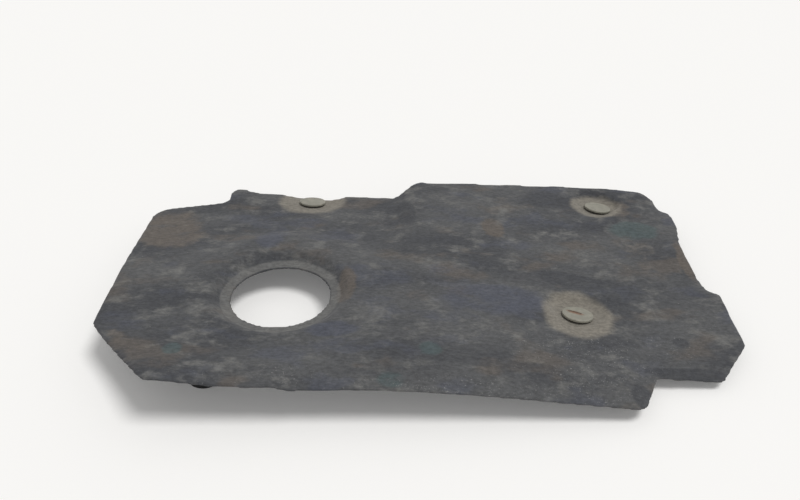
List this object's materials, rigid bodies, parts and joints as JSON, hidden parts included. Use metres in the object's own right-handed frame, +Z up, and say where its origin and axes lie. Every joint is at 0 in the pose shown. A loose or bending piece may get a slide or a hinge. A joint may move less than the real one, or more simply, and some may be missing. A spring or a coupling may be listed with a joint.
{
  "type": "engine noise insulator",
  "caption": "Moulded fibre noise insulator pad with a sunk round filler opening, a rolled front strip, pressed recesses that hold push-in retainers, and a rubber foot.",
  "frame": {"origin": "on the axis of the oil filler hole, in the plane of its sunk rim", "axes": "+X along the long side towards the lobe, +Y towards the back edge, +Z up out of the pad's top face"},
  "size_m": [0.501, 0.3084, 0.0439],
  "materials": {
    "felt": "matt pressed felt, blotchy, dusty and brown stained",
    "nylon": "dull grey nylon, aged, with rust marks",
    "rubber": "matt black rubber"
  },
  "bodies": {
    "root": {"pad": "felt", "retainer_back_left": "nylon", "retainer_back_right": "nylon", "retainer_middle_right": "nylon", "foot": "rubber"}
  },
  "joints": []
}
